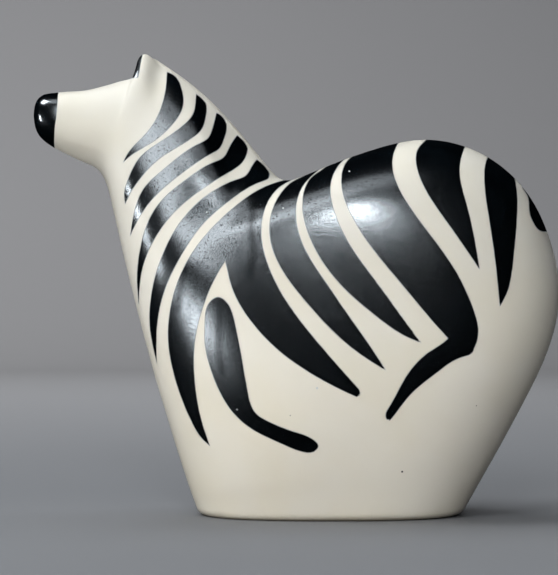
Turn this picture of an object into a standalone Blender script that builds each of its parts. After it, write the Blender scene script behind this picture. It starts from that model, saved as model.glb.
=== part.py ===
"""Zebra figurine: one slip-cast ceramic body with a flat foot, as a single closed solid.

The form is lofted like a hull. Each station is a chord across the side view, from a point on
the lower edge (foot, chest, throat, jaw) to a point on the upper edge (rump, back, mane,
forehead), with the half width of the body there. Smooth curves run through the stations. The
mane, the jaw and the ears are then worked into the sides.
"""
import bmesh
import bpy
import numpy as np

# Overall sizes in metres
LENGTH = 0.1750
HEIGHT = 0.1530
WIDTH = 0.0730

# The drawing below is in millimetres at these overall sizes; the sizes above stretch it
DRAWN_LENGTH = 175.0
DRAWN_HEIGHT = 153.0
DRAWN_WIDTH = 73.0

# Mesh density: rings between two stations and points around a ring
RINGS = 3
POINTS = 46

# Radius of the edge around the flat foot
FOOT_RADIUS = 2.3

# How often widths and section shapes are evened out between neighbouring stations
SMOOTHING = 1

# Each station: lower point x, z; upper point x, z; half width;
# share of the chord where it is widest; flatness of the lower and of the upper side from there;
# taper of the upper end
STATIONS = [
    (-32.3, 0.0, 54.7, 0.0, 24.0, 0.50, 2.80, 2.80, 0.50),
    (-33.2, 2.6, 56.3, 2.6, 24.7, 0.50, 2.80, 2.80, 0.50),
    (-34.2, 5.3, 60.6, 10.2, 26.1, 0.50, 2.75, 2.75, 0.50),
    (-35.2, 8.1, 67.0, 21.6, 28.4, 0.51, 2.90, 2.90, 0.50),
    (-36.4, 11.6, 75.9, 38.2, 31.4, 0.53, 3.00, 2.90, 0.50),
    (-37.9, 16.2, 83.6, 54.8, 33.9, 0.54, 3.10, 2.90, 0.50),
    (-39.6, 21.5, 87.3, 71.5, 35.6, 0.53, 3.00, 3.00, 0.50),
    (-41.6, 28.0, 85.3, 88.2, 36.4, 0.52, 2.95, 3.10, 0.50),
    (-43.8, 35.2, 77.9, 105.5, 36.6, 0.51, 2.90, 3.20, 0.50),
    (-46.0, 42.4, 64.6, 118.5, 36.1, 0.51, 2.91, 3.15, 0.50),
    (-48.2, 50.2, 44.6, 124.8, 34.8, 0.50, 2.70, 3.00, 0.50),
    (-50.4, 58.4, 24.6, 121.2, 33.1, 0.50, 2.42, 3.00, 0.51),
    (-52.2, 65.2, 9.6, 115.7, 31.4, 0.49, 2.20, 3.00, 0.52),
    (-53.6, 70.6, 0.3, 112.0, 30.0, 0.49, 2.08, 3.00, 0.53),
    (-54.5, 74.2, -4.4, 111.5, 29.1, 0.49, 2.08, 3.00, 0.53),
    (-55.4, 77.8, -9.4, 115.8, 27.9, 0.49, 2.15, 2.95, 0.53),
    (-57.2, 85.2, -18.8, 127.3, 24.7, 0.47, 2.26, 2.75, 0.54),
    (-58.9, 92.5, -29.4, 138.7, 21.2, 0.45, 2.33, 2.45, 0.55),
    (-60.3, 98.8, -38.8, 146.3, 18.4, 0.41, 2.26, 2.20, 0.55),
    (-61.4, 103.5, -45.4, 150.8, 16.6, 0.41, 2.20, 2.20, 0.55),
    (-62.3, 107.3, -49.9, 153.0, 15.4, 0.42, 2.20, 2.20, 0.54),
    (-63.0, 109.6, -51.7, 152.1, 15.0, 0.42, 2.20, 2.20, 0.52),
    (-63.8, 111.7, -52.7, 149.0, 14.7, 0.43, 2.20, 2.20, 0.50),
    (-65.1, 113.9, -53.7, 146.2, 14.3, 0.44, 2.20, 2.20, 0.48),
    (-66.9, 115.6, -55.1, 145.2, 13.8, 0.46, 2.20, 2.20, 0.48),
    (-69.5, 116.9, -58.4, 144.4, 13.1, 0.48, 2.20, 2.20, 0.48),
    (-71.6, 117.8, -61.4, 143.5, 12.4, 0.50, 2.30, 2.30, 0.48),
    (-73.8, 118.8, -65.4, 142.4, 11.5, 0.51, 2.40, 2.40, 0.48),
    (-76.2, 120.0, -70.4, 141.3, 10.4, 0.52, 2.40, 2.40, 0.48),
    (-79.0, 121.4, -76.1, 140.9, 9.1, 0.53, 2.40, 2.40, 0.48),
    (-81.9, 123.0, -80.8, 140.5, 7.8, 0.54, 2.30, 2.30, 0.48),
    (-84.2, 124.7, -83.9, 140.0, 6.5, 0.54, 2.20, 2.20, 0.48),
    (-86.0, 126.8, -85.9, 138.7, 5.1, 0.54, 2.10, 2.10, 0.50),
    (-87.0, 129.2, -87.0, 136.6, 3.3, 0.54, 2.00, 2.00, 0.50),
    (-87.5, 132.7, -87.5, 132.9, 0.2, 0.50, 2.00, 2.00, 0.50),
]

# Mane: a strip on each side, flatter than the neck, that rises to the crest
CREST_HALF_WIDTH = 4.2
MANE_SLOPE = 1.35
MANE_SOFTNESS = 0.8
MANE_FROM, MANE_FULL_FROM, MANE_FULL_TO, MANE_TO = -48.0, -43.0, -18.0, -7.0

# Jaw: the under side of the head is cut back in a facet below a soft edge
KEEL_HALF_WIDTH = 2.8
JAW_SLOPE = 1.75
JAW_SOFTNESS = 2.0
JAW_FULL_TO, JAW_TO = -74.0, -61.5

# Ears: a rolled ridge on each side of the head that fades down the cheek, with a hollow behind it
EAR_X = -50.4
EAR_RIDGE, EAR_RIDGE_SPREAD = 1.4, 3.0
HOLLOW_X = -45.4
HOLLOW_DEPTH, HOLLOW_SPREAD = 1.6, 2.8
EAR_ROOT, EAR_FADE = 147.0, 134.0
CREST_KEEPS = 4.0

# Tip of each ear: how far it rises, how far from the middle, and its reach across and along
TIP_LIFT, TIP_Y = 1.25, 5.2
TIP_ACROSS, TIP_ALONG = 2.4, 6.0

# Notch between the ears: it runs back into the mane and down into the forehead
NOTCH_HALF_WIDTH = 2.9
NOTCH_FLOOR, NOTCH_FULL = 145.8, 148.5
NOTCH_BACK, NOTCH_BACK_X, NOTCH_BACK_SPREAD = 3.4, -51.9, 2.2
NOTCH_DROP, NOTCH_DROP_X, NOTCH_DROP_SPREAD = 5.2, -51.0, 2.1
NOTCH_DROP_FROM, NOTCH_DROP_FULL = 148.6, 152.5

WHITE_GLAZE = (0.80, 0.78, 0.72, 1.0)


def ramp(start, end, value):
    """0 before start, 1 after end and a smooth rise between."""
    t = np.clip((value - start) / (end - start), 0.0, 1.0)
    return t * t * (3.0 - 2.0 * t)


def bell(value, centre, spread):
    """A smooth bump, 1 high at its centre."""
    return np.exp(-((value - centre) / spread) ** 2)


def soft_least(a, b, softness):
    """The smaller of two values, with the corner between them rounded off."""
    gap = np.clip(0.5 + 0.5 * (b - a) / softness, 0.0, 1.0)
    return b + (a - b) * gap - softness * gap * (1.0 - gap)


def smooth_curves(knots, values, at):
    """Natural cubic curves through the rows of values, read off at the given places."""
    count = len(knots)
    step = np.diff(knots)
    slope = np.diff(values, axis=0) / step[:, None]
    matrix = np.zeros((count, count))
    right = np.zeros_like(values)
    matrix[0, 0] = matrix[-1, -1] = 1.0
    for i in range(1, count - 1):
        matrix[i, i - 1:i + 2] = step[i - 1], 2.0 * (step[i - 1] + step[i]), step[i]
        right[i] = 6.0 * (slope[i] - slope[i - 1])
    bend = np.linalg.solve(matrix, right)
    k = np.clip(np.searchsorted(knots, at, side="right") - 1, 0, count - 2)
    h = step[k][:, None]
    a = (knots[k + 1] - at)[:, None]
    b = (at - knots[k])[:, None]
    ends = (values[k] / h - bend[k] * h / 6.0) * a + (values[k + 1] / h - bend[k + 1] * h / 6.0) * b
    return (bend[k] * a ** 3 + bend[k + 1] * b ** 3) / (6.0 * h) + ends


def ring_rows(rings):
    """The station values at every ring, closer together where the stations are."""
    table = np.array(STATIONS)
    for _ in range(SMOOTHING):
        table[1:-1, 4:] = 0.25 * table[:-2, 4:] + 0.5 * table[1:-1, 4:] + 0.25 * table[2:, 4:]
    low = np.hypot(*np.diff(table[:, 0:2], axis=0).T)
    high = np.hypot(*np.diff(table[:, 2:4], axis=0).T)
    knots = np.concatenate([[0.0], np.cumsum(low + high)])
    parts = [np.linspace(knots[i], knots[i + 1], rings, endpoint=False) for i in range(len(knots) - 1)]
    return smooth_curves(knots, table, np.concatenate(parts + [knots[-1:]]))


def side_form(rings, points):
    """x, y and z of one side, in drawn millimetres: a row for each ring, lower edge to upper."""
    columns = [column[:, None] for column in ring_rows(rings).T]
    low_x, low_z, high_x, high_z, half, widest, flat_low, flat_high, taper = columns
    share = (0.5 - 0.5 * np.cos(np.linspace(0.0, np.pi, points)))[None, :]
    x = low_x + (high_x - low_x) * share
    z = low_z + (high_z - low_z) * share
    across = (share - widest) / (widest + share - 2.0 * widest * share)
    flat = np.where(across < 0.0, flat_low, flat_high)
    power = 0.5 + (taper - 0.5) * ramp(-0.5, 1.0, across)
    y = half * np.clip(1.0 - np.abs(across) ** flat, 0.0, 1.0) ** power
    y = worked_mane(x, y, z, high_x, high_z)
    y = worked_jaw(x, y, z, low_x, low_z)
    y = worked_ears(x, y, z)
    x, z = worked_tips(x, y, z)
    x, y = rounded_foot(x, y, z)
    return x, y, z


def edge_distance(x, z, edge_x, edge_z):
    """Distance of each point from the outline's tangent at its own ring."""
    along_x = np.gradient(edge_x[:, 0])[:, None]
    along_z = np.gradient(edge_z[:, 0])[:, None]
    length = np.hypot(along_x, along_z) + 1e-9
    return np.abs((x - edge_x) * along_z - (z - edge_z) * along_x) / length


def worked_mane(x, y, z, high_x, high_z):
    """Flatten the strip below the crest of the neck."""
    strength = ramp(MANE_FROM, MANE_FULL_FROM, high_x) * (1.0 - ramp(MANE_FULL_TO, MANE_TO, high_x))
    strength = strength * (high_z > 100.0)
    facet = CREST_HALF_WIDTH + MANE_SLOPE * edge_distance(x, z, high_x, high_z)
    return y + strength * (np.minimum(soft_least(y, facet, MANE_SOFTNESS), y) - y)


def worked_jaw(x, y, z, low_x, low_z):
    """Cut the under side of the head back to its keel."""
    strength = 1.0 - ramp(JAW_FULL_TO, JAW_TO, low_x)
    facet = KEEL_HALF_WIDTH + JAW_SLOPE * np.hypot(x - low_x, z - low_z)
    return y + strength * (np.minimum(soft_least(y, facet, JAW_SOFTNESS), y) - y)


def worked_ears(x, y, z):
    """Raise the rolled front of each ear and hollow the side of the head behind it."""
    height = ramp(EAR_FADE, EAR_ROOT, z) * np.clip(y / CREST_KEEPS, 0.0, 1.0)
    ridge = EAR_RIDGE * bell(x, EAR_X, EAR_RIDGE_SPREAD)
    hollow = HOLLOW_DEPTH * bell(x, HOLLOW_X, HOLLOW_SPREAD)
    return y + height * (ridge - hollow)


def worked_tips(x, y, z):
    """Raise the tip of each ear and part the two with a notch that runs back into the mane."""
    top = ramp(NOTCH_FLOOR, NOTCH_FULL, z)
    lift = TIP_LIFT * top * bell(y, TIP_Y, TIP_ACROSS) * bell(x, EAR_X, TIP_ALONG)
    middle = top * bell(y, 0.0, NOTCH_HALF_WIDTH)
    back = NOTCH_BACK * middle * bell(x, NOTCH_BACK_X, NOTCH_BACK_SPREAD)
    drop = NOTCH_DROP * middle * bell(x, NOTCH_DROP_X, NOTCH_DROP_SPREAD)
    return x + back, z + lift - drop * ramp(NOTCH_DROP_FROM, NOTCH_DROP_FULL, z)


def rounded_foot(x, y, z):
    """Draw the lowest rings in to round the edge of the foot."""
    height = np.clip(z / FOOT_RADIUS, 0.0, 1.0)
    inset = FOOT_RADIUS * (1.0 - np.sqrt(1.0 - (1.0 - height) ** 2))
    centre = 0.5 * (STATIONS[0][0] + STATIONS[0][2])
    reach = 0.5 * (STATIONS[0][2] - STATIONS[0][0])
    half = STATIONS[0][4]
    x = x - (x - centre) * inset / reach
    y = y - y * inset / half
    return x, y


def body_mesh(name, rings, points):
    """Skin the rings of both sides with quads and close the foot and the nose."""
    x, y, z = side_form(rings, points)
    scale = (LENGTH / DRAWN_LENGTH, WIDTH / DRAWN_WIDTH, HEIGHT / DRAWN_HEIGHT)
    loops = []
    shape = bmesh.new()
    for row in range(x.shape[0]):
        near = [(x[row, i], -y[row, i], z[row, i]) for i in range(points)]
        far = [(x[row, i], y[row, i], z[row, i]) for i in range(points - 2, 0, -1)]
        loops.append([shape.verts.new([v * s for v, s in zip(p, scale)]) for p in near + far])
    around = len(loops[0])
    for one, two in zip(loops, loops[1:]):
        for i in range(around):
            j = (i + 1) % around
            shape.faces.new((one[i], one[j], two[j], two[i]))
    shape.faces.new(loops[0])
    shape.faces.new(loops[-1])
    bmesh.ops.recalc_face_normals(shape, faces=shape.faces)
    mesh = bpy.data.meshes.new(name)
    for face in shape.faces:
        face.smooth = len(face.verts) == 4
    shape.to_mesh(mesh)
    shape.free()
    return mesh


def glaze(name, colour):
    """A glossy ceramic glaze."""
    material = bpy.data.materials.new(name)
    material.use_nodes = True
    shader = material.node_tree.nodes["Principled BSDF"]
    shader.inputs["Base Color"].default_value = colour
    shader.inputs["Roughness"].default_value = 0.18
    shader.inputs["Metallic"].default_value = 0.0
    return material


def zebra_figurine():
    """The whole figurine."""
    figurine = bpy.data.objects.new("zebra_figurine", body_mesh("zebra_figurine", RINGS, POINTS // 2 + 1))
    figurine.data.materials.append(glaze("white_glaze", WHITE_GLAZE))
    bpy.context.scene.collection.objects.link(figurine)
    return figurine


for old in list(bpy.data.objects):
    bpy.data.objects.remove(old, do_unlink=True)
zebra_figurine()
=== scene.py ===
"""Zebra figurine, dressed: the glazed body with its painted stripes, on a pale studio floor.

The body is the same lofted form as the solid, with a finer mesh that is fitted to the solid's box.
The stripes are drawn as outlines in the side view, both sides alike, and reach the mesh as
attributes that hold the distances from the painted edges.
"""
import math

import bpy
import numpy as np
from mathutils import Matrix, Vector


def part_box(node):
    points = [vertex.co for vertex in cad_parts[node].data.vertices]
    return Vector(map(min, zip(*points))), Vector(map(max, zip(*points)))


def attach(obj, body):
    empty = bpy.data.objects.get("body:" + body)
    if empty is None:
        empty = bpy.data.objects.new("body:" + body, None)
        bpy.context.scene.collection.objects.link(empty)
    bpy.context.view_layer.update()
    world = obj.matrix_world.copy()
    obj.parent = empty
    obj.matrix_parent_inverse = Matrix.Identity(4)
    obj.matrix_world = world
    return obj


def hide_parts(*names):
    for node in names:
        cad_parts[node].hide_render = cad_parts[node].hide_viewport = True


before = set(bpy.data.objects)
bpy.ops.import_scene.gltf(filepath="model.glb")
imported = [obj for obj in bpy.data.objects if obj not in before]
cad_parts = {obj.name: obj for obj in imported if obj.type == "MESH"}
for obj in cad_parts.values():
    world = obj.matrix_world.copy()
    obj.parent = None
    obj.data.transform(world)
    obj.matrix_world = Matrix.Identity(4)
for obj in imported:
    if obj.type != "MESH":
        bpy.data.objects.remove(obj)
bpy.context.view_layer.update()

MILLIMETRE = 0.001

# The piece that stands for the solid, in the frame
BODY_NODE = "zebra_figurine"

# Mesh density: rings along the body and points from the lower edge to the upper one
RINGS = 300
POINTS = 165

# Millimetres added to each step between stations when the rings are shared out, which gives more
# rings where stations lie close together, as at the foot and the nose
RING_SPARE = 1.2

# Radius of the edge around the flat foot, in drawn millimetres like all lengths of the form
FOOT_RADIUS = 2.3

# How often widths and section shapes are evened out between neighbouring stations
SMOOTHING = 1

# Each station: lower point x, z; upper point x, z; half width;
# share of the chord where it is widest; flatness of the lower and of the upper side from there;
# taper of the upper end
STATIONS = [
    (-32.3, 0.0, 54.7, 0.0, 24.0, 0.50, 2.80, 2.80, 0.50),
    (-33.2, 2.6, 56.3, 2.6, 24.7, 0.50, 2.80, 2.80, 0.50),
    (-34.2, 5.3, 60.6, 10.2, 26.1, 0.50, 2.75, 2.75, 0.50),
    (-35.2, 8.1, 67.0, 21.6, 28.4, 0.51, 2.90, 2.90, 0.50),
    (-36.4, 11.6, 75.9, 38.2, 31.4, 0.53, 3.00, 2.90, 0.50),
    (-37.9, 16.2, 83.6, 54.8, 33.9, 0.54, 3.10, 2.90, 0.50),
    (-39.6, 21.5, 87.3, 71.5, 35.6, 0.53, 3.00, 3.00, 0.50),
    (-41.6, 28.0, 85.3, 88.2, 36.4, 0.52, 2.95, 3.10, 0.50),
    (-43.8, 35.2, 77.9, 105.5, 36.6, 0.51, 2.90, 3.20, 0.50),
    (-46.0, 42.4, 64.6, 118.5, 36.1, 0.51, 2.91, 3.15, 0.50),
    (-48.2, 50.2, 44.6, 124.8, 34.8, 0.50, 2.70, 3.00, 0.50),
    (-50.4, 58.4, 24.6, 121.2, 33.1, 0.50, 2.42, 3.00, 0.51),
    (-52.2, 65.2, 9.6, 115.7, 31.4, 0.49, 2.20, 3.00, 0.52),
    (-53.6, 70.6, 0.3, 112.0, 30.0, 0.49, 2.08, 3.00, 0.53),
    (-54.5, 74.2, -4.4, 111.5, 29.1, 0.49, 2.08, 3.00, 0.53),
    (-55.4, 77.8, -9.4, 115.8, 27.9, 0.49, 2.15, 2.95, 0.53),
    (-57.2, 85.2, -18.8, 127.3, 24.7, 0.47, 2.26, 2.75, 0.54),
    (-58.9, 92.5, -29.4, 138.7, 21.2, 0.45, 2.33, 2.45, 0.55),
    (-60.3, 98.8, -38.8, 146.3, 18.4, 0.41, 2.26, 2.20, 0.55),
    (-61.4, 103.5, -45.4, 150.8, 16.6, 0.41, 2.20, 2.20, 0.55),
    (-62.3, 107.3, -49.9, 153.0, 15.4, 0.42, 2.20, 2.20, 0.54),
    (-63.0, 109.6, -51.7, 152.1, 15.0, 0.42, 2.20, 2.20, 0.52),
    (-63.8, 111.7, -52.7, 149.0, 14.7, 0.43, 2.20, 2.20, 0.50),
    (-65.1, 113.9, -53.7, 146.2, 14.3, 0.44, 2.20, 2.20, 0.48),
    (-66.9, 115.6, -55.1, 145.2, 13.8, 0.46, 2.20, 2.20, 0.48),
    (-69.5, 116.9, -58.4, 144.4, 13.1, 0.48, 2.20, 2.20, 0.48),
    (-71.6, 117.8, -61.4, 143.5, 12.4, 0.50, 2.30, 2.30, 0.48),
    (-73.8, 118.8, -65.4, 142.4, 11.5, 0.51, 2.40, 2.40, 0.48),
    (-76.2, 120.0, -70.4, 141.3, 10.4, 0.52, 2.40, 2.40, 0.48),
    (-79.0, 121.4, -76.1, 140.9, 9.1, 0.53, 2.40, 2.40, 0.48),
    (-81.9, 123.0, -80.8, 140.5, 7.8, 0.54, 2.30, 2.30, 0.48),
    (-84.2, 124.7, -83.9, 140.0, 6.5, 0.54, 2.20, 2.20, 0.48),
    (-86.0, 126.8, -85.9, 138.7, 5.1, 0.54, 2.10, 2.10, 0.50),
    (-87.0, 129.2, -87.0, 136.6, 3.3, 0.54, 2.00, 2.00, 0.50),
    (-87.5, 132.7, -87.5, 132.9, 0.2, 0.50, 2.00, 2.00, 0.50),
]

# Mane: a strip on each side, flatter than the neck, that rises to the crest
CREST_HALF_WIDTH = 4.2
MANE_SLOPE = 1.35
MANE_SOFTNESS = 0.8
MANE_FROM, MANE_FULL_FROM, MANE_FULL_TO, MANE_TO = -48.0, -43.0, -18.0, -7.0
MANE_ABOVE = 100.0

# Jaw: the under side of the head is cut back in a facet below a soft edge
KEEL_HALF_WIDTH = 2.8
JAW_SLOPE = 1.75
JAW_SOFTNESS = 2.0
JAW_FULL_TO, JAW_TO = -74.0, -61.5

# Ears: a rolled ridge on each side of the head that fades down the cheek, with a hollow behind it
EAR_X = -50.4
EAR_RIDGE, EAR_RIDGE_SPREAD = 1.4, 3.0
HOLLOW_X = -45.4
HOLLOW_DEPTH, HOLLOW_SPREAD = 1.6, 2.8
EAR_ROOT, EAR_FADE = 147.0, 134.0
CREST_KEEPS = 4.0

# Tip of each ear: how far it rises, how far from the middle, and its reach across and along
TIP_LIFT, TIP_Y = 1.25, 5.2
TIP_ACROSS, TIP_ALONG = 2.4, 6.0

# Notch between the ears: it runs back into the mane and down into the forehead
NOTCH_HALF_WIDTH = 2.9
NOTCH_FLOOR, NOTCH_FULL = 145.8, 148.5
NOTCH_BACK, NOTCH_BACK_X, NOTCH_BACK_SPREAD = 3.4, -51.9, 2.2
NOTCH_DROP, NOTCH_DROP_X, NOTCH_DROP_SPREAD = 5.2, -51.0, 2.1
NOTCH_DROP_FROM, NOTCH_DROP_FULL = 148.6, 152.5

# The photograph's view, in drawn millimetres: the camera looks along +Y, level
VIEW_X, VIEW_Z = -5.75, 75.67
VIEW_DISTANCE = 770.0
VIEW_WIDTH = 186.0
SENSOR = 36.0

# Painted shapes as seen from the side, in drawn millimetres on the plane of symmetry. Each run is
# a smooth curve, and runs meet in corners
PAINTED = {
    "neck_1": (
        [(-43.1, 147.6), (-43.6, 141.8), (-45.6, 134.4), (-50.6, 126.5), (-56.4, 120.1),
         (-57.7, 117.4)],
        [(-57.7, 117.4), (-55.8, 119.1), (-48.3, 123.9), (-41.1, 130.2), (-37.6, 136.7),
         (-38.3, 142.3), (-40.2, 146.0), (-43.1, 147.6)],
    ),
    "neck_2": (
        [(-33.4, 140.2), (-33.6, 137.7), (-33.9, 135.2), (-34.9, 132.8), (-37.3, 130.2),
         (-44.4, 124.9), (-52.6, 118.6), (-55.7, 112.8), (-57.4, 106.2), (-57.0, 103.5)],
        [(-57.0, 103.5), (-54.9, 107.8), (-51.6, 112.5), (-46.8, 117.6), (-38.3, 123.2),
         (-34.0, 126.0), (-31.3, 128.7), (-30.3, 131.8), (-29.8, 135.2), (-30.0, 137.0)],
        [(-30.0, 137.0), (-31.5, 138.8), (-33.4, 140.2)],
    ),
    "neck_3": (
        [(-26.6, 134.0), (-27.3, 131.2), (-28.1, 128.3), (-29.5, 125.5), (-32.6, 123.6),
         (-36.4, 121.4), (-44.9, 114.6), (-50.8, 108.8), (-53.9, 101.5), (-55.4, 92.8)],
        [(-55.4, 92.8), (-52.6, 98.5), (-48.3, 104.7), (-41.1, 111.4), (-32.1, 118.0), (-28.1, 120.4),
         (-25.6, 122.0), (-24.1, 125.0), (-23.2, 128.2), (-23.2, 130.4)],
        [(-23.2, 130.4), (-24.7, 132.7), (-26.6, 134.0)],
    ),
    "neck_4": (
        [(-19.7, 126.5), (-21.6, 123.8), (-22.9, 121.2), (-24.4, 119.0), (-27.3, 117.6),
         (-31.6, 115.4), (-36.4, 112.0), (-43.1, 106.6), (-48.2, 100.2), (-51.6, 90.8), (-53.1, 79.8),
         (-52.6, 70.2)],
        [(-52.6, 70.2), (-51.1, 82.5), (-46.9, 92.4), (-39.4, 102.0), (-30.8, 108.8), (-25.9, 112.0),
         (-21.2, 114.8), (-18.1, 117.2), (-16.5, 120.1), (-16.1, 122.2)],
        [(-16.1, 122.2), (-17.6, 124.6), (-19.7, 126.5)],
    ),
    "neck_5": (
        [(-13.1, 118.4), (-14.5, 116.7), (-15.6, 114.7), (-16.9, 113.0), (-20.2, 111.6),
         (-24.8, 109.6), (-29.4, 106.8), (-37.9, 98.6), (-44.4, 87.2), (-48.1, 74.8), (-48.9, 63.2),
         (-46.5, 50.5)],
        [(-46.5, 50.5), (-46.4, 62.5), (-43.6, 75.5), (-38.4, 86.2), (-30.9, 97.0), (-21.6, 105.1),
         (-11.4, 111.0), (-9.2, 112.2), (-8.9, 114.0)],
        [(-8.9, 114.0), (-10.8, 116.4), (-13.1, 118.4)],
    ),
    "shoulder_front": (
        [(2.6, 115.5), (-0.8, 112.8), (-5.1, 111.2), (-9.4, 109.8), (-14.1, 107.4), (-23.4, 100.2),
         (-31.9, 91.2), (-38.4, 80.5), (-42.0, 68.8), (-42.7, 57.2), (-40.2, 44.5), (-34.8, 30.6),
         (-31.9, 25.8), (-28.7, 22.7)],
        [(-28.7, 22.7), (-31.6, 31.5), (-33.8, 44.5), (-33.8, 57.5), (-30.9, 69.6), (-26.4, 80.0),
         (-23.7, 84.4), (-17.0, 95.0), (-12.0, 103.5), (-6.0, 109.4), (2.6, 115.5)],
    ),
    "shoulder_back": (
        [(2.6, 115.5), (-0.8, 112.8), (-5.1, 111.2), (-9.4, 109.8), (-14.1, 107.4), (-20.6, 102.6),
         (-25.0, 97.0), (-25.3, 90.5), (-23.7, 84.4), (-21.6, 76.0), (-16.3, 66.0), (-7.1, 55.7),
         (3.6, 47.8), (14.6, 41.7), (20.2, 39.1)],
        [(20.2, 39.1), (21.4, 39.9), (20.9, 41.8)],
        [(20.9, 41.8), (13.6, 50.0), (4.2, 61.0), (-3.5, 71.5), (-9.0, 82.2), (-11.6, 92.8),
         (-10.0, 103.0), (-4.6, 109.8), (-0.8, 112.0), (2.6, 115.5)],
    ),
    "front_leg": (
        [(-15.6, 38.2), (-17.0, 45.5), (-18.6, 54.8), (-19.8, 60.8), (-21.1, 66.5), (-23.0, 70.6),
         (-26.1, 72.5), (-29.1, 70.6), (-30.5, 64.5), (-30.6, 58.2), (-28.9, 49.5), (-25.6, 41.0),
         (-20.3, 33.0), (-13.4, 27.6), (-4.8, 23.5), (2.2, 20.8), (6.1, 21.0), (7.4, 22.6),
         (5.2, 25.3), (-1.1, 27.7), (-8.8, 30.8), (-13.9, 34.3), (-15.6, 38.2)],
    ),
    "back_1": (
        [(5.2, 116.8), (3.2, 113.5), (-0.8, 111.3), (-4.2, 108.4), (-8.4, 100.2), (-8.5, 90.7),
         (-4.1, 80.5), (3.6, 70.4), (12.6, 60.7), (21.2, 53.5), (30.0, 47.9)],
        [(30.0, 47.9), (25.7, 54.6), (17.8, 65.9), (9.4, 78.1), (2.5, 89.4), (-0.1, 100.2),
         (2.2, 109.4), (7.2, 114.6), (10.6, 117.5)],
        [(10.6, 117.5), (5.2, 116.8)],
    ),
    "back_2": (
        [(12.6, 118.8), (8.6, 115.0), (5.4, 112.8), (2.2, 106.0), (3.0, 96.7), (7.8, 85.8),
         (15.8, 75.5), (26.2, 66.4), (35.9, 59.7), (41.7, 57.1)],
        [(41.7, 57.1), (35.8, 65.1), (26.1, 78.4), (18.1, 89.6), (12.9, 100.5), (11.6, 110.5),
         (14.7, 117.0), (19.2, 120.8)],
        [(19.2, 120.8), (12.6, 118.8)],
    ),
    "back_3": (
        [(21.9, 122.8), (19.2, 120.0), (16.6, 117.4), (15.0, 110.8), (17.9, 100.7), (25.6, 88.4),
         (36.6, 75.0), (46.6, 63.1), (50.6, 58.7), (54.6, 55.0), (58.5, 53.6)],
        [(58.5, 53.6), (60.6, 59.0), (58.7, 69.5), (53.2, 81.2), (44.9, 93.0), (36.1, 105.4),
         (32.1, 116.5), (33.9, 123.6), (35.9, 126.2)],
        [(35.9, 126.2), (21.9, 122.8)],
    ),
    "hook": (
        [(54.0, 64.0), (50.6, 58.7), (43.7, 53.8), (36.1, 45.2), (30.9, 35.8), (29.8, 32.5),
         (30.7, 31.2), (32.2, 32.4), (38.6, 40.5), (47.1, 47.4), (55.8, 52.6), (58.5, 53.6),
         (59.0, 59.0), (54.0, 64.0)],
    ),
    "back_4": (
        [(45.2, 126.8), (42.6, 124.3), (40.4, 121.6), (40.1, 116.2), (43.9, 106.8), (52.5, 94.3),
         (61.2, 81.6)],
        [(61.2, 81.6), (59.5, 91.8), (56.6, 104.2), (54.5, 114.8), (56.0, 121.8), (57.9, 125.5)],
        [(57.9, 125.5), (45.2, 126.8)],
    ),
    "back_5": (
        [(65.2, 121.5), (63.4, 118.2), (62.7, 113.5), (64.2, 99.2), (66.3, 84.8), (67.9, 69.3)],
        [(67.9, 69.3), (70.0, 73.2), (72.4, 84.8), (73.7, 99.8), (73.6, 107.5), (72.8, 112.2),
         (71.6, 116.2)],
        [(71.6, 116.2), (65.2, 121.5)],
    ),
    "tail": (
        [(74.9, 109.5), (77.4, 105.2), (77.7, 101.2), (78.9, 97.5), (81.2, 94.6), (83.9, 94.2)],
        [(83.9, 94.2), (87.9, 96.2)],
        [(87.9, 96.2), (74.9, 109.5)],
    ),
    "nose": (
        [(-78.8, 143.5), (-79.4, 140.2), (-79.8, 134.8), (-80.4, 129.8), (-80.7, 125.8),
         (-80.5, 120.8)],
        [(-80.5, 120.8), (-90.1, 120.8)],
        [(-90.1, 120.8), (-90.1, 143.5)],
        [(-90.1, 143.5), (-78.8, 143.5)],
    ),
    "ear": (
        [(-51.2, 153.2), (-51.7, 151.2), (-52.1, 148.8), (-52.7, 145.7)],
        [(-52.7, 145.7), (-56.1, 145.2)],
        [(-56.1, 145.2), (-54.8, 153.2)],
        [(-54.8, 153.2), (-51.2, 153.2)],
    ),
}

# Neighbouring stripes go to different layers, so the thin gaps between them stay sharp
LAYERS = {
    "a": ("neck_1", "neck_3", "neck_5", "front_leg", "back_1", "back_3", "back_5", "nose"),
    "b": ("neck_2", "neck_4", "shoulder_front", "back_2", "back_4", "tail", "ear"),
    "c": ("shoulder_back", "hook"),
}
CURVE_STEPS = 6
DISTANCE_LIMIT = 4.0

# Lines along which the paint dried dull, and edges that the brush left ragged
DULL_LINES = (
    [(-14.4, 100.5), (-15.1, 96.2), (-14.7, 92.2), (-14.1, 88.2), (-14.8, 84.2), (-15.3, 79.5)],
    [(-25.1, 70.5), (-25.4, 66.5), (-25.8, 59.8), (-25.8, 54.8), (-24.7, 47.5)],
    [(-37.4, 81.2), (-38.8, 74.8), (-39.8, 68.5)],
)
RAGGED_LINES = (
    [(26.0, 79.5), (33.5, 69.3), (41.7, 57.1)],
)

# Each run is carried on past its ends by this length, turned inwards there by this angle in degrees,
# and its distance may be this much more than the distance from the whole outline
RUN_ON = 12.0
RUN_TURN = 35.0
TIP_MARGIN = 1.5

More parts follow.
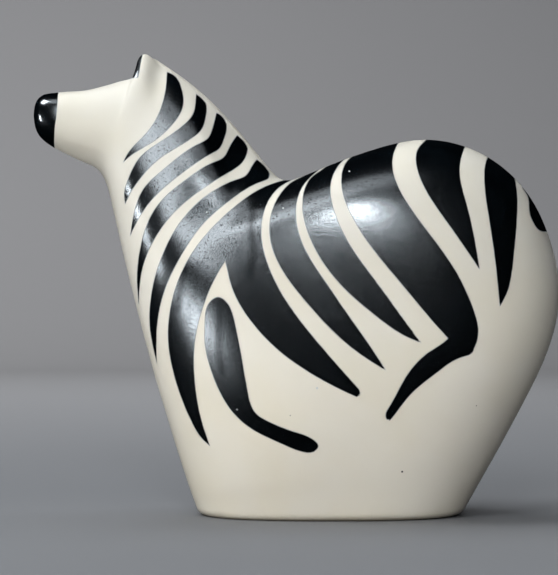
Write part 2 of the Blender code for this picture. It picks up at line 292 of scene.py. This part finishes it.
# Noises: the size of their features in metres, their detail and their roughness. A range gives the
# noise values between which the effect rises from nothing to full
WHITE_CLOUDS, WHITE_CLOUD_RANGE = (0.03, 3.0, 0.5), (0.3, 0.7)
BLACK_CLOUDS, BLACK_CLOUD_RANGE = (0.012, 4.0, 0.6), (0.40, 0.75)
MOTTLE, MOTTLE_RANGE = (0.0006, 1.0, 0.5), (0.35, 0.65)
PEPPER, PEPPER_RANGE = (0.0007, 2.0, 0.6), (0.28, 0.44)
GRAIN = (0.00045, 2.0, 0.6)
EDGE_WOBBLE = (0.003, 2.0, 0.5)
BRISTLES = (0.0007, 2.0, 0.7)
WAVES = (0.02, 1.0, 0.5)
PAPER_CLOUDS = (0.3, 2.0, 0.5)

# Depths of the grain in the paint and of the slow waves that the glaze settles into, in metres
GRAIN_DEPTH = 0.00003
WAVE_DEPTH = 0.00006

# Warm white glaze
WHITE_WARM = (0.77, 0.715, 0.60, 1.0)
WHITE_COOL = (0.79, 0.745, 0.655, 1.0)
WHITE_ROUGHNESS = 0.28
WHITE_SPECULAR = 0.05
GLAZE_IOR = 1.9

# Bluish black paint under a thinner glaze, brushed unevenly. The width of the dull lines is in
# millimetres
BLACK_DEEP = (0.0004, 0.0012, 0.0020, 1.0)
BLACK_THIN = (0.0018, 0.0036, 0.0050, 1.0)
BLACK_SPECULAR = 1.0
SPECULAR_TINT = (0.94, 0.98, 1.0, 1.0)
BLACK_ROUGHNESS, BLACK_MOTTLED = 0.19, 0.25
PEPPER_SPECULAR = 0.25
DULL_WIDTH, DULL_SPECULAR = 2.2, 0.5

# The nose cap is glossier, in front of this x in metres and over a short blend
NOSE_ROUGHNESS = 0.16
NOSE_X, NOSE_BLEND = -0.075, 0.001

# Painted edges, in millimetres like the distances that the attributes hold
EDGE_SOFT = 0.10
EDGE_WANDER = 0.08
RAGGED_WIDTH = 1.2
BRISTLE_REACH = 1.6
BRISTLE_COLOUR = (0.030, 0.024, 0.008, 1.0)
BRISTLE_DEPTH = 0.7
RIM_WIDTH = 0.30
RIM_ROUGHNESS = 0.10
FRINGE = (0.40, 0.46, 0.55, 1.0)
FRINGE_WIDTH = 0.4
FRINGE_STRENGTH = 0.15

# Pinholes in the glaze and specks of paint on the near side: x, z and radius as drawn, and how far
# in front of the plane of symmetry they lie
PINHOLES = ((-4.4, 102.2, 0.30), (17.9, 114.8, 0.35), (-19.8, 34.8, 0.30), (6.9, 42.2, 0.5),
            (-11.2, 96.0, 0.2), (24.0, 103.0, 0.2), (-30.0, 101.0, 0.2))
SPECKS = ((35.6, 13.8, 0.42), (-2.0, 33.0, 0.2), (60.5, 36.0, 0.22))
MARK_DEPTH = 33.0
PINHOLE_COLOUR = (0.62, 0.63, 0.62, 1.0)

# Studio, in metres: a round floor that curves up into a wall all round
FLOOR_COLOUR = (0.22, 0.22, 0.226, 1.0)
FLOOR_ROUGHNESS = 0.9
PAPER_LIGHTER = 1.03
FLOOR_RADIUS, BEND_RADIUS, WALL_TOP = 1.35, 0.5, 1.9
FLOOR_SEGMENTS, BEND_STEPS = 128, 24
AIR_COLOUR = (0.95, 0.97, 1.0, 1.0)
AIR_STRENGTH = 0.02

# The place that most lights face, and the colours of the lights
AIM = Vector((0.0, 0.0, 0.085))
DAY_COLOUR = (0.90, 0.95, 1.0)
WHITE_COLOUR = (1.0, 1.0, 1.0)
WARM_COLOUR = (1.0, 0.90, 0.70)

# Softboxes that face the figurine: name, azimuth, elevation, distance, width, height, power, spread
# and whether the gloss shows them
SOFTBOXES = (
    ("window_left", 35.0, 23.0, 1.08, 0.30, 0.70, 2.5, 180.0, True),
    ("window_middle", 20.0, 44.0, 1.1, 0.35, 0.40, 1.2, 180.0, True),
    ("window_right", 1.0, 25.0, 1.08, 0.16, 0.24, 2.1, 180.0, True),
    ("overhead", 28.0, 64.0, 1.1, 1.00, 0.46, 1.5, 180.0, True),
    ("left_high", 83.0, 46.0, 1.1, 0.30, 0.30, 3.4, 180.0, True),
    ("left_strip", 79.0, -1.0, 0.9, 0.06, 0.14, 0.75, 180.0, True),
    ("front_low", 53.0, -15.5, 0.24, 0.16, 0.02, 0.0045, 35.0, True),
    ("top_fill", 150.0, 76.0, 1.0, 0.60, 0.60, 5.4, 180.0, False),
    ("back_fill", 180.0, 30.0, 1.1, 0.60, 0.60, 1.6, 180.0, False),
)

# A warm fill near the foot: name, place, aim, width, height, power, spread and whether the gloss
# shows it
FRONT_FILL = ("front_fill", (-0.10, -0.27, 0.03), (-0.01, -0.02, 0.03),
              0.25, 0.04, 0.034, 70.0, False)

# Lights that stand closer than this light the figurine alone
NEAR_LIGHT = 1.0

# Lights on the wall all round: name, azimuth and power, with their radius and height, the radius and
# height they face, and their width, height and spread
WALL_LIGHTS = (("wall_back", 160.0, 15.0), ("wall_front", 10.0, 4.0), ("wall_left", 80.0, 4.0),
               ("wall_right", 265.0, 4.0))
WALL_LIGHT_PLACE, WALL_LIGHT_AIM = (0.67, 1.5), (1.7, 0.25)
WALL_LIGHT_SHAPE = (1.2, 0.3, 120.0)


def ramp(start, end, value):
    """0 before start, 1 after end and a smooth rise between."""
    t = np.clip((value - start) / (end - start), 0.0, 1.0)
    return t * t * (3.0 - 2.0 * t)


def bell(value, centre, spread):
    """A smooth bump, 1 high at its centre."""
    return np.exp(-((value - centre) / spread) ** 2)


def soft_least(a, b, softness):
    """The smaller of two values, with the corner between them rounded off."""
    gap = np.clip(0.5 + 0.5 * (b - a) / softness, 0.0, 1.0)
    return b + (a - b) * gap - softness * gap * (1.0 - gap)


def smooth_curves(knots, values, at):
    """Natural cubic curves through the rows of values, read off at the given places."""
    count = len(knots)
    step = np.diff(knots)
    slope = np.diff(values, axis=0) / step[:, None]
    matrix = np.zeros((count, count))
    right = np.zeros_like(values)
    matrix[0, 0] = matrix[-1, -1] = 1.0
    for i in range(1, count - 1):
        matrix[i, i - 1:i + 2] = step[i - 1], 2.0 * (step[i - 1] + step[i]), step[i]
        right[i] = 6.0 * (slope[i] - slope[i - 1])
    bend = np.linalg.solve(matrix, right)
    k = np.clip(np.searchsorted(knots, at, side="right") - 1, 0, count - 2)
    h = step[k][:, None]
    a = (knots[k + 1] - at)[:, None]
    b = (at - knots[k])[:, None]
    near_end = (values[k] / h - bend[k] * h / 6.0) * a
    far_end = (values[k + 1] / h - bend[k + 1] * h / 6.0) * b
    return (bend[k] * a ** 3 + bend[k + 1] * b ** 3) / (6.0 * h) + (near_end + far_end)


def ring_rows(count):
    """The station values at evenly spaced rings."""
    table = np.array(STATIONS)
    for _ in range(SMOOTHING):
        table[1:-1, 4:] = 0.25 * table[:-2, 4:] + 0.5 * table[1:-1, 4:] + 0.25 * table[2:, 4:]
    low = np.hypot(*np.diff(table[:, 0:2], axis=0).T)
    high = np.hypot(*np.diff(table[:, 2:4], axis=0).T)
    knots = np.concatenate([[0.0], np.cumsum(low + high)])
    reach = np.concatenate([[0.0], np.cumsum(np.maximum(low, high) + RING_SPARE)])
    places = np.interp(np.linspace(0.0, reach[-1], count), reach, knots)
    return smooth_curves(knots, table, places)


def side_form(rings, points):
    """x, y and z of one side, in drawn millimetres: a row for each ring, lower edge to upper."""
    columns = [column[:, None] for column in ring_rows(rings).T]
    low_x, low_z, high_x, high_z, half, widest, flat_low, flat_high, taper = columns
    share = (0.5 - 0.5 * np.cos(np.linspace(0.0, np.pi, points)))[None, :]
    x = low_x + (high_x - low_x) * share
    z = low_z + (high_z - low_z) * share
    across = (share - widest) / (widest + share - 2.0 * widest * share)
    flat = np.where(across < 0.0, flat_low, flat_high)
    power = 0.5 + (taper - 0.5) * ramp(-0.5, 1.0, across)
    y = half * np.clip(1.0 - np.abs(across) ** flat, 0.0, 1.0) ** power
    y = worked_mane(x, y, z, high_x, high_z)
    y = worked_jaw(x, y, z, low_x, low_z)
    y = worked_ears(x, y, z)
    x, z = worked_tips(x, y, z)
    x, y = rounded_foot(x, y, z)
    return x, y, z


def edge_distance(x, z, edge_x, edge_z):
    """Distance of each point from the outline's tangent at its own ring."""
    along_x = np.gradient(edge_x[:, 0])[:, None]
    along_z = np.gradient(edge_z[:, 0])[:, None]
    length = np.hypot(along_x, along_z) + 1e-9
    return np.abs((x - edge_x) * along_z - (z - edge_z) * along_x) / length


def worked_mane(x, y, z, high_x, high_z):
    """Flatten the strip below the crest of the neck."""
    strength = ramp(MANE_FROM, MANE_FULL_FROM, high_x) * (1.0 - ramp(MANE_FULL_TO, MANE_TO, high_x))
    strength = strength * (high_z > MANE_ABOVE)
    facet = CREST_HALF_WIDTH + MANE_SLOPE * edge_distance(x, z, high_x, high_z)
    return y + strength * (np.minimum(soft_least(y, facet, MANE_SOFTNESS), y) - y)


def worked_jaw(x, y, z, low_x, low_z):
    """Cut the under side of the head back to its keel."""
    strength = 1.0 - ramp(JAW_FULL_TO, JAW_TO, low_x)
    facet = KEEL_HALF_WIDTH + JAW_SLOPE * np.hypot(x - low_x, z - low_z)
    return y + strength * (np.minimum(soft_least(y, facet, JAW_SOFTNESS), y) - y)


def worked_ears(x, y, z):
    """Raise the rolled front of each ear and hollow the side of the head behind it."""
    height = ramp(EAR_FADE, EAR_ROOT, z) * np.clip(y / CREST_KEEPS, 0.0, 1.0)
    ridge = EAR_RIDGE * bell(x, EAR_X, EAR_RIDGE_SPREAD)
    hollow = HOLLOW_DEPTH * bell(x, HOLLOW_X, HOLLOW_SPREAD)
    return y + height * (ridge - hollow)


def worked_tips(x, y, z):
    """Raise the tip of each ear and part the two with a notch that runs back into the mane."""
    top = ramp(NOTCH_FLOOR, NOTCH_FULL, z)
    lift = TIP_LIFT * top * bell(y, TIP_Y, TIP_ACROSS) * bell(x, EAR_X, TIP_ALONG)
    middle = top * bell(y, 0.0, NOTCH_HALF_WIDTH)
    back = NOTCH_BACK * middle * bell(x, NOTCH_BACK_X, NOTCH_BACK_SPREAD)
    drop = NOTCH_DROP * middle * bell(x, NOTCH_DROP_X, NOTCH_DROP_SPREAD)
    return x + back, z + lift - drop * ramp(NOTCH_DROP_FROM, NOTCH_DROP_FULL, z)


def rounded_foot(x, y, z):
    """Draw the lowest rings in to round the edge of the foot."""
    height = np.clip(z / FOOT_RADIUS, 0.0, 1.0)
    inset = FOOT_RADIUS * (1.0 - np.sqrt(1.0 - (1.0 - height) ** 2))
    centre = 0.5 * (STATIONS[0][0] + STATIONS[0][2])
    reach = 0.5 * (STATIONS[0][2] - STATIONS[0][0])
    half = STATIONS[0][4]
    x = x - (x - centre) * inset / reach
    y = y - y * inset / half
    return x, y


def smooth_run(run):
    """Points along a smooth curve through one run."""
    points = np.array(run)
    along = np.concatenate([[0.0], np.cumsum(np.hypot(*np.diff(points, axis=0).T))])
    share = np.linspace(0.0, len(run) - 1.0, (len(run) - 1) * CURVE_STEPS + 1)
    return smooth_curves(along, points, np.interp(share, np.arange(len(run)), along))


def beside(line, x, z):
    """Distance from a line of points, positive on the left of its direction."""
    nearest = np.full(x.shape, np.inf)
    signed = np.zeros(x.shape)
    for (ax, az), (bx, bz) in zip(line, line[1:]):
        ex, ez = bx - ax, bz - az
        along = np.clip(((x - ax) * ex + (z - az) * ez) / (ex * ex + ez * ez + 1e-12), 0.0, 1.0)
        away = np.hypot(x - ax - along * ex, z - az - along * ez)
        side = np.sign(ex * (z - az) - ez * (x - ax))
        signed = np.where(away < nearest, side * away, signed)
        nearest = np.minimum(nearest, away)
    return signed


def inside_loop(loop, x, z):
    """Which points a closed line goes round."""
    inside = np.zeros(x.shape, dtype=bool)
    for (ax, az), (bx, bz) in zip(loop, loop[1:]):
        if az != bz:
            inside ^= ((az > z) != (bz > z)) & (x < ax + (z - az) * (bx - ax) / (bz - az))
    return inside


def turned(step, degrees):
    """A step of full length in the same direction, turned to the left."""
    angle = math.atan2(step[1], step[0]) + math.radians(degrees)
    return RUN_ON * np.array([math.cos(angle), math.sin(angle)])


def carried_on(line):
    """The line with both of its ends carried on, a little to its left."""
    return np.concatenate([[line[0] + turned(line[0] - line[1], -RUN_TURN)], line,
                           [line[-1] + turned(line[-1] - line[-2], RUN_TURN)]])


def shape_distances(runs, x, z):
    """Distances inside a painted shape: from its whole outline, its first run and its other runs."""
    lines = [smooth_run(run) for run in runs]
    loop = np.concatenate([line[:-1] for line in lines] + [lines[0][:1]])
    whole = np.abs(beside(loop, x, z)) * np.where(inside_loop(loop, x, z), 1.0, -1.0)
    if len(lines) == 1:
        return whole, whole, whole
    if np.sum(loop[:-1, 0] * loop[1:, 1] - loop[1:, 0] * loop[:-1, 1]) < 0.0:
        lines = [line[::-1] for line in lines]
    first, *rest = [np.clip(beside(carried_on(line), x, z), whole, whole + TIP_MARGIN)
                    for line in lines]
    return whole, first, np.min(rest, axis=0)


def seen_from_side(x, y, z):
    """Where a point of the near side shows on the plane of symmetry, in the photograph's view."""
    nearer = VIEW_DISTANCE / (VIEW_DISTANCE - np.abs(y))
    return VIEW_X + (x - VIEW_X) * nearer, VIEW_Z + (z - VIEW_Z) * nearer


def paint_layer(names, x, y, z):
    """Distances inside the first run and the other runs of the nearest named shape, point by point.

    A point is painted where both are positive.
    """
    across, up = seen_from_side(x, y, z)
    shapes = [shape_distances(PAINTED[name], across, up) for name in names]
    whole, first, rest = (np.array(distances) for distances in zip(*shapes))
    nearest = np.argmax(whole, axis=0)[None]
    picked = [np.take_along_axis(distances, nearest, axis=0)[0] for distances in (first, rest)]
    return [np.clip(distances, -DISTANCE_LIMIT, DISTANCE_LIMIT) for distances in picked]


def line_distance(lines, x, y, z):
    """Distance of every point of one side from the nearest of the lines, in the side view."""
    across, up = seen_from_side(x, y, z)
    nearest = np.min([np.abs(beside(smooth_run(line), across, up)) for line in lines], axis=0)
    return np.minimum(nearest, DISTANCE_LIMIT)


def both_sides(values):
    """Ring by ring, the near side from the lower edge up, then the far side back down."""
    return np.concatenate([values, values[:, -2:0:-1]], axis=1)


def to_frame(places):
    """Drawn millimetres as metres in the frame, where the form fills the box of its solid."""
    form = [axis.ravel() for axis in side_form(RINGS, POINTS)]
    drawn_low = np.array([form[0].min(), -form[1].max(), form[2].min()])
    drawn_high = np.array([axis.max() for axis in form])
    low, high = (np.array(corner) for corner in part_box(BODY_NODE))
    return low + (np.array(places) - drawn_low) * (high - low) / (drawn_high - drawn_low)


def body_mesh(name):
    """The glazed body, with the distances from the painted edges as attributes."""
    x, y, z = side_form(RINGS, POINTS)
    paint = {}
    for layer, shapes in LAYERS.items():
        first, rest = paint_layer(shapes, x, y, z)
        paint["first_" + layer] = both_sides(first)
        paint["rest_" + layer] = both_sides(rest)
    paint["dull"] = both_sides(line_distance(DULL_LINES, x, y, z))
    paint["ragged"] = both_sides(line_distance(RAGGED_LINES, x, y, z))
    side = np.concatenate([-np.ones(POINTS), np.ones(POINTS - 2)])
    places = np.stack([both_sides(x), both_sides(y) * side, both_sides(z)], axis=-1)
    around = places.shape[1]
    places = to_frame(places.reshape(-1, 3))

    ring, place = np.meshgrid(np.arange(RINGS - 1), np.arange(around), indexing="ij")
    after = (place + 1) % around
    quads = np.stack([ring * around + place, ring * around + after,
                      (ring + 1) * around + after, (ring + 1) * around + place], axis=-1)
    faces = quads.reshape(-1, 4).tolist()
    faces.append(list(range(around))[::-1])
    faces.append(list(range((RINGS - 1) * around, RINGS * around)))
    mesh = bpy.data.meshes.new(name)
    mesh.from_pydata(places.tolist(), [], faces)
    mesh.polygons.foreach_set("use_smooth", [True] * (len(faces) - 2) + [False, True])
    for edges, distance in paint.items():
        attribute = mesh.attributes.new(edges, "FLOAT", "POINT")
        attribute.data.foreach_set("value", distance.ravel())
    mesh.update()
    return mesh


class Nodes:
    """Short calls that add shader nodes to one material."""

    def __init__(self, name):
        self.material = bpy.data.materials.new(name)
        self.material.use_nodes = True
        self.tree = self.material.node_tree
        self.shader = self.tree.nodes["Principled BSDF"]

    def put(self, socket, value):
        """Link a node's output to a socket, or set the socket's own value."""
        if isinstance(value, bpy.types.NodeSocket):
            self.tree.links.new(value, socket)
        else:
            socket.default_value = value

    def math(self, operation, *values, clamp=False):
        """One operation on numbers or on outputs of other nodes."""
        node = self.tree.nodes.new("ShaderNodeMath")
        node.operation = operation
        node.use_clamp = clamp
        for socket, value in zip(node.inputs, values):
            self.put(socket, value)
        return node.outputs[0]

    def remap(self, value, start, end, low=0.0, high=1.0, smooth=True):
        """Values from start to end become values from low to high, and those outside are held there."""
        node = self.tree.nodes.new("ShaderNodeMapRange")
        node.interpolation_type = "SMOOTHSTEP" if smooth else "LINEAR"
        for name, given in (("Value", value), ("From Min", start), ("From Max", end),
                            ("To Min", low), ("To Max", high)):
            self.put(node.inputs[name], given)
        return node.outputs["Result"]

    def mix(self, share, first, second):
        """The first colour at share 0, the second at share 1."""
        node = self.tree.nodes.new("ShaderNodeMix")
        node.data_type = "RGBA"
        self.put(node.inputs["Factor"], share)
        self.put(node.inputs["A"], first)
        self.put(node.inputs["B"], second)
        return node.outputs["Result"]

    def attribute(self, name):
        """A distance that the mesh holds."""
        node = self.tree.nodes.new("ShaderNodeAttribute")
        node.attribute_name = name
        return node.outputs["Fac"]

    def place(self):
        """The object's own coordinates, in metres."""
        return self.tree.nodes.new("ShaderNodeTexCoord").outputs["Object"]

    def along(self, axis):
        """One of the object's own coordinates."""
        node = self.tree.nodes.new("ShaderNodeSeparateXYZ")
        self.put(node.inputs[0], self.place())
        return node.outputs[axis]

    def marks(self, spots):
        """Small round marks on the near side, at drawn places with their radii."""
        flat = self.tree.nodes.new("ShaderNodeVectorMath")
        flat.operation = "MULTIPLY"
        self.put(flat.inputs[0], self.place())
        flat.inputs[1].default_value = (1.0, 0.0, 1.0)
        share = 0.0
        nearer = VIEW_DISTANCE / (VIEW_DISTANCE - MARK_DEPTH)
        for x, z, radius in spots:
            spot = to_frame((VIEW_X + (x - VIEW_X) / nearer, 0.0, VIEW_Z + (z - VIEW_Z) / nearer))
            away = self.tree.nodes.new("ShaderNodeVectorMath")
            away.operation = "DISTANCE"
            self.put(away.inputs[0], flat.outputs[0])
            away.inputs[1].default_value = (spot[0], 0.0, spot[2])
            reach = MILLIMETRE * radius
            mark = self.remap(away.outputs["Value"], 0.5 * reach, reach, 1.0, 0.0)
            share = self.math("MAXIMUM", mark, share)
        near = self.math("LESS_THAN", self.along(1), 0.0)
        return self.math("MULTIPLY", share, near)

    def noise(self, size, detail, roughness):
        """Noise whose features are about the given size in metres."""
        node = self.tree.nodes.new("ShaderNodeTexNoise")
        self.put(node.inputs["Vector"], self.place())
        node.inputs["Scale"].default_value = 1.0 / size
        node.inputs["Detail"].default_value = detail
        node.inputs["Roughness"].default_value = roughness
        return node.outputs["Fac"]

    def swing(self, value, reach):
        """A value from 0 to 1 spread from minus the reach to plus the reach."""
        return self.math("MULTIPLY_ADD", value, 2.0 * reach, -reach)

    def bump(self, height, depth, normal=None):
        """The normal of a surface that rises by the depth, in metres, where the height is 1."""
        node = self.tree.nodes.new("ShaderNodeBump")
        node.inputs["Strength"].default_value = 1.0
        node.inputs["Distance"].default_value = depth
        self.put(node.inputs["Height"], height)
        if normal is not None:
            self.put(node.inputs["Normal"], normal)
        return node.outputs["Normal"]


def painted_glaze(name):
    """Warm white glaze with brushed bluish black paint inside the painted edges."""
    make = Nodes(name)
    a, b, c = [make.math("MINIMUM", make.attribute("first_" + layer), make.attribute("rest_" + layer))
               for layer in LAYERS]
    edge = make.math("MAXIMUM", make.math("MAXIMUM", a, b), c)
    wander = make.swing(make.noise(*EDGE_WOBBLE), EDGE_WANDER)
    bristles = make.swing(make.noise(*BRISTLES), 0.5 * BRISTLE_REACH)
    ragged = make.remap(make.attribute("ragged"), 0.0, RAGGED_WIDTH, 1.0, 0.0)
    wander = make.math("MULTIPLY_ADD", bristles, ragged, wander)
    edge = make.math("ADD", edge, wander)
    black = make.remap(edge, -EDGE_SOFT, EDGE_SOFT)
    fringe = make.remap(edge, -FRINGE_WIDTH, -EDGE_SOFT)
    rim = make.remap(edge, EDGE_SOFT, RIM_WIDTH, RIM_ROUGHNESS, 0.0)

    tone = make.remap(make.noise(*WHITE_CLOUDS), *WHITE_CLOUD_RANGE)
    white = make.mix(tone, WHITE_WARM, WHITE_COOL)
    white = make.mix(make.math("MULTIPLY", fringe, FRINGE_STRENGTH), white, FRINGE)
    wash = make.remap(make.noise(*BLACK_CLOUDS), *BLACK_CLOUD_RANGE)
    paint = make.mix(wash, BLACK_DEEP, BLACK_THIN)
    thin = make.math("MULTIPLY", ragged, make.remap(edge, EDGE_SOFT, BRISTLE_DEPTH, 1.0, 0.0))
    paint = make.mix(thin, paint, BRISTLE_COLOUR)
    colour = make.mix(black, white, paint)
    colour = make.mix(make.marks(PINHOLES), colour, PINHOLE_COLOUR)
    colour = make.mix(make.marks(SPECKS), colour, BLACK_DEEP)
    make.put(make.shader.inputs["Base Color"], colour)

    mottle = make.remap(make.noise(*MOTTLE), *MOTTLE_RANGE)
    nose = make.remap(make.along(0), NOSE_X - NOSE_BLEND, NOSE_X + NOSE_BLEND, 1.0, 0.0)
    rough_black = make.remap(mottle, 0.0, 1.0, BLACK_ROUGHNESS, BLACK_MOTTLED, smooth=False)
    rough_black = make.math("ADD", rough_black, rim)
    rough_black = make.remap(nose, 0.0, 1.0, rough_black, NOSE_ROUGHNESS, smooth=False)
    rough = make.remap(black, 0.0, 1.0, WHITE_ROUGHNESS, rough_black, smooth=False)
    make.put(make.shader.inputs["Roughness"], rough)

    gloss = make.remap(make.noise(*PEPPER), *PEPPER_RANGE, PEPPER_SPECULAR, BLACK_SPECULAR)
    gloss = make.math("MAXIMUM", gloss, nose)
    dulled = make.remap(make.attribute("dull"), 0.0, DULL_WIDTH, DULL_SPECULAR, 1.0)
    gloss = make.math("MULTIPLY", gloss, dulled)
    gloss = make.remap(black, 0.0, 1.0, WHITE_SPECULAR, gloss)
    make.put(make.shader.inputs["Specular IOR Level"], gloss)

    waves = make.bump(make.noise(*WAVES), WAVE_DEPTH)
    grained = make.math("SUBTRACT", black, nose, clamp=True)
    grain = make.math("MULTIPLY", make.noise(*GRAIN), grained)
    make.put(make.shader.inputs["Normal"], make.bump(grain, GRAIN_DEPTH, waves))
    make.shader.inputs["Specular Tint"].default_value = SPECULAR_TINT
    make.shader.inputs["IOR"].default_value = GLAZE_IOR
    return make.material


def plain_stage(name, colour, roughness):
    """A matt studio surface with a barely visible unevenness."""
    make = Nodes(name)
    lighter = [min(1.0, PAPER_LIGHTER * part) for part in colour[:3]] + [1.0]
    paper = make.mix(make.noise(*PAPER_CLOUDS), colour, lighter)
    make.put(make.shader.inputs["Base Color"], paper)
    make.shader.inputs["Roughness"].default_value = roughness
    return make.material


def studio_floor():
    """A round floor that rises into a wall in one smooth curve."""
    bends = [math.radians(90.0 * i / BEND_STEPS) for i in range(BEND_STEPS + 1)]
    profile = [(FLOOR_RADIUS + BEND_RADIUS * math.sin(a), BEND_RADIUS * (1.0 - math.cos(a)))
               for a in bends]
    profile.append((FLOOR_RADIUS + BEND_RADIUS, WALL_TOP))
    turns = [2.0 * math.pi * i / FLOOR_SEGMENTS for i in range(FLOOR_SEGMENTS)]
    places = [(r * math.cos(a), r * math.sin(a), z) for r, z in profile for a in turns]
    faces = [list(range(FLOOR_SEGMENTS))]
    for row in range(len(profile) - 1):
        for i in range(FLOOR_SEGMENTS):
            j = (i + 1) % FLOOR_SEGMENTS
            low, high = row * FLOOR_SEGMENTS, (row + 1) * FLOOR_SEGMENTS
            faces.append((high + i, high + j, low + j, low + i))
    mesh = bpy.data.meshes.new("studio_floor")
    mesh.from_pydata(places, [], faces)
    mesh.polygons.foreach_set("use_smooth", [True] * len(faces))
    floor = bpy.data.objects.new("studio_floor", mesh)
    floor.data.materials.append(plain_stage("studio_paper", FLOOR_COLOUR, FLOOR_ROUGHNESS))
    floor.visible_glossy = False
    bpy.context.scene.collection.objects.link(floor)


def around_figurine(azimuth, elevation, distance):
    """A place round the figurine: azimuth 0 is the camera's side and 90 the nose's side."""
    a, e = math.radians(azimuth), math.radians(elevation)
    direction = (-math.sin(a) * math.cos(e), -math.cos(a) * math.cos(e), math.sin(e))
    return AIM + distance * Vector(direction)


def softbox(name, colour, place, aim, width, height, power, spread, in_gloss):
    """A soft rectangular light that faces its aim."""
    lamp = bpy.data.lights.new(name, "AREA")
    lamp.shape = "RECTANGLE"
    lamp.size = width
    lamp.size_y = height
    lamp.energy = power
    lamp.spread = math.radians(spread)
    lamp.color = colour
    light = bpy.data.objects.new(name, lamp)
    light.visible_camera = False
    light.visible_glossy = in_gloss
    light.location = place
    light.rotation_euler = (aim - place).to_track_quat("-Z", "Y").to_euler()
    bpy.context.scene.collection.objects.link(light)
    return light


def studio_lights(figurine):
    """Softboxes round the figurine, small near ones for it alone and lights on the wall."""
    alone = bpy.data.collections.new("lit_by_near_lights")
    alone.objects.link(figurine)
    near = []
    for name, azimuth, elevation, distance, *rest in SOFTBOXES:
        light = softbox(name, DAY_COLOUR, around_figurine(azimuth, elevation, distance), AIM, *rest)
        if distance < NEAR_LIGHT:
            near.append(light)
    name, place, aim, *rest = FRONT_FILL
    near.append(softbox(name, WARM_COLOUR, Vector(place), Vector(aim), *rest))
    for light in near:
        light.light_linking.receiver_collection = alone
    width, height, spread = WALL_LIGHT_SHAPE
    for name, azimuth, power in WALL_LIGHTS:
        a = math.radians(azimuth)
        place, aim = (Vector((-radius * math.sin(a), -radius * math.cos(a), z))
                      for radius, z in (WALL_LIGHT_PLACE, WALL_LIGHT_AIM))
        softbox(name, WHITE_COLOUR, place, aim, width, height, power, spread, False)


def studio_air():
    """Weak even light from all round."""
    world = bpy.data.worlds.new("studio_air")
    world.use_nodes = True
    background = world.node_tree.nodes["Background"]
    background.inputs["Color"].default_value = AIR_COLOUR
    background.inputs["Strength"].default_value = AIR_STRENGTH
    world.cycles_visibility.glossy = False
    bpy.context.scene.world = world


def photo_camera():
    """The camera at the photograph's place."""
    camera = bpy.data.objects.new("photo_camera", bpy.data.cameras.new("photo_camera"))
    camera.data.sensor_fit = "HORIZONTAL"
    camera.data.sensor_width = SENSOR
    camera.data.lens = SENSOR * VIEW_DISTANCE / VIEW_WIDTH
    camera.location = to_frame((VIEW_X, -VIEW_DISTANCE, VIEW_Z))
    camera.rotation_euler = (math.radians(90.0), 0.0, 0.0)
    bpy.context.scene.collection.objects.link(camera)
    bpy.context.scene.camera = camera


body = bpy.data.objects.new("glazed_body", body_mesh("glazed_body"))
body.data.materials.append(painted_glaze("painted_glaze"))
bpy.context.scene.collection.objects.link(body)
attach(body, "root")
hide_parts(BODY_NODE)

studio_floor()
studio_air()
studio_lights(body)
photo_camera()
bpy.context.scene.view_settings.view_transform = "Standard"
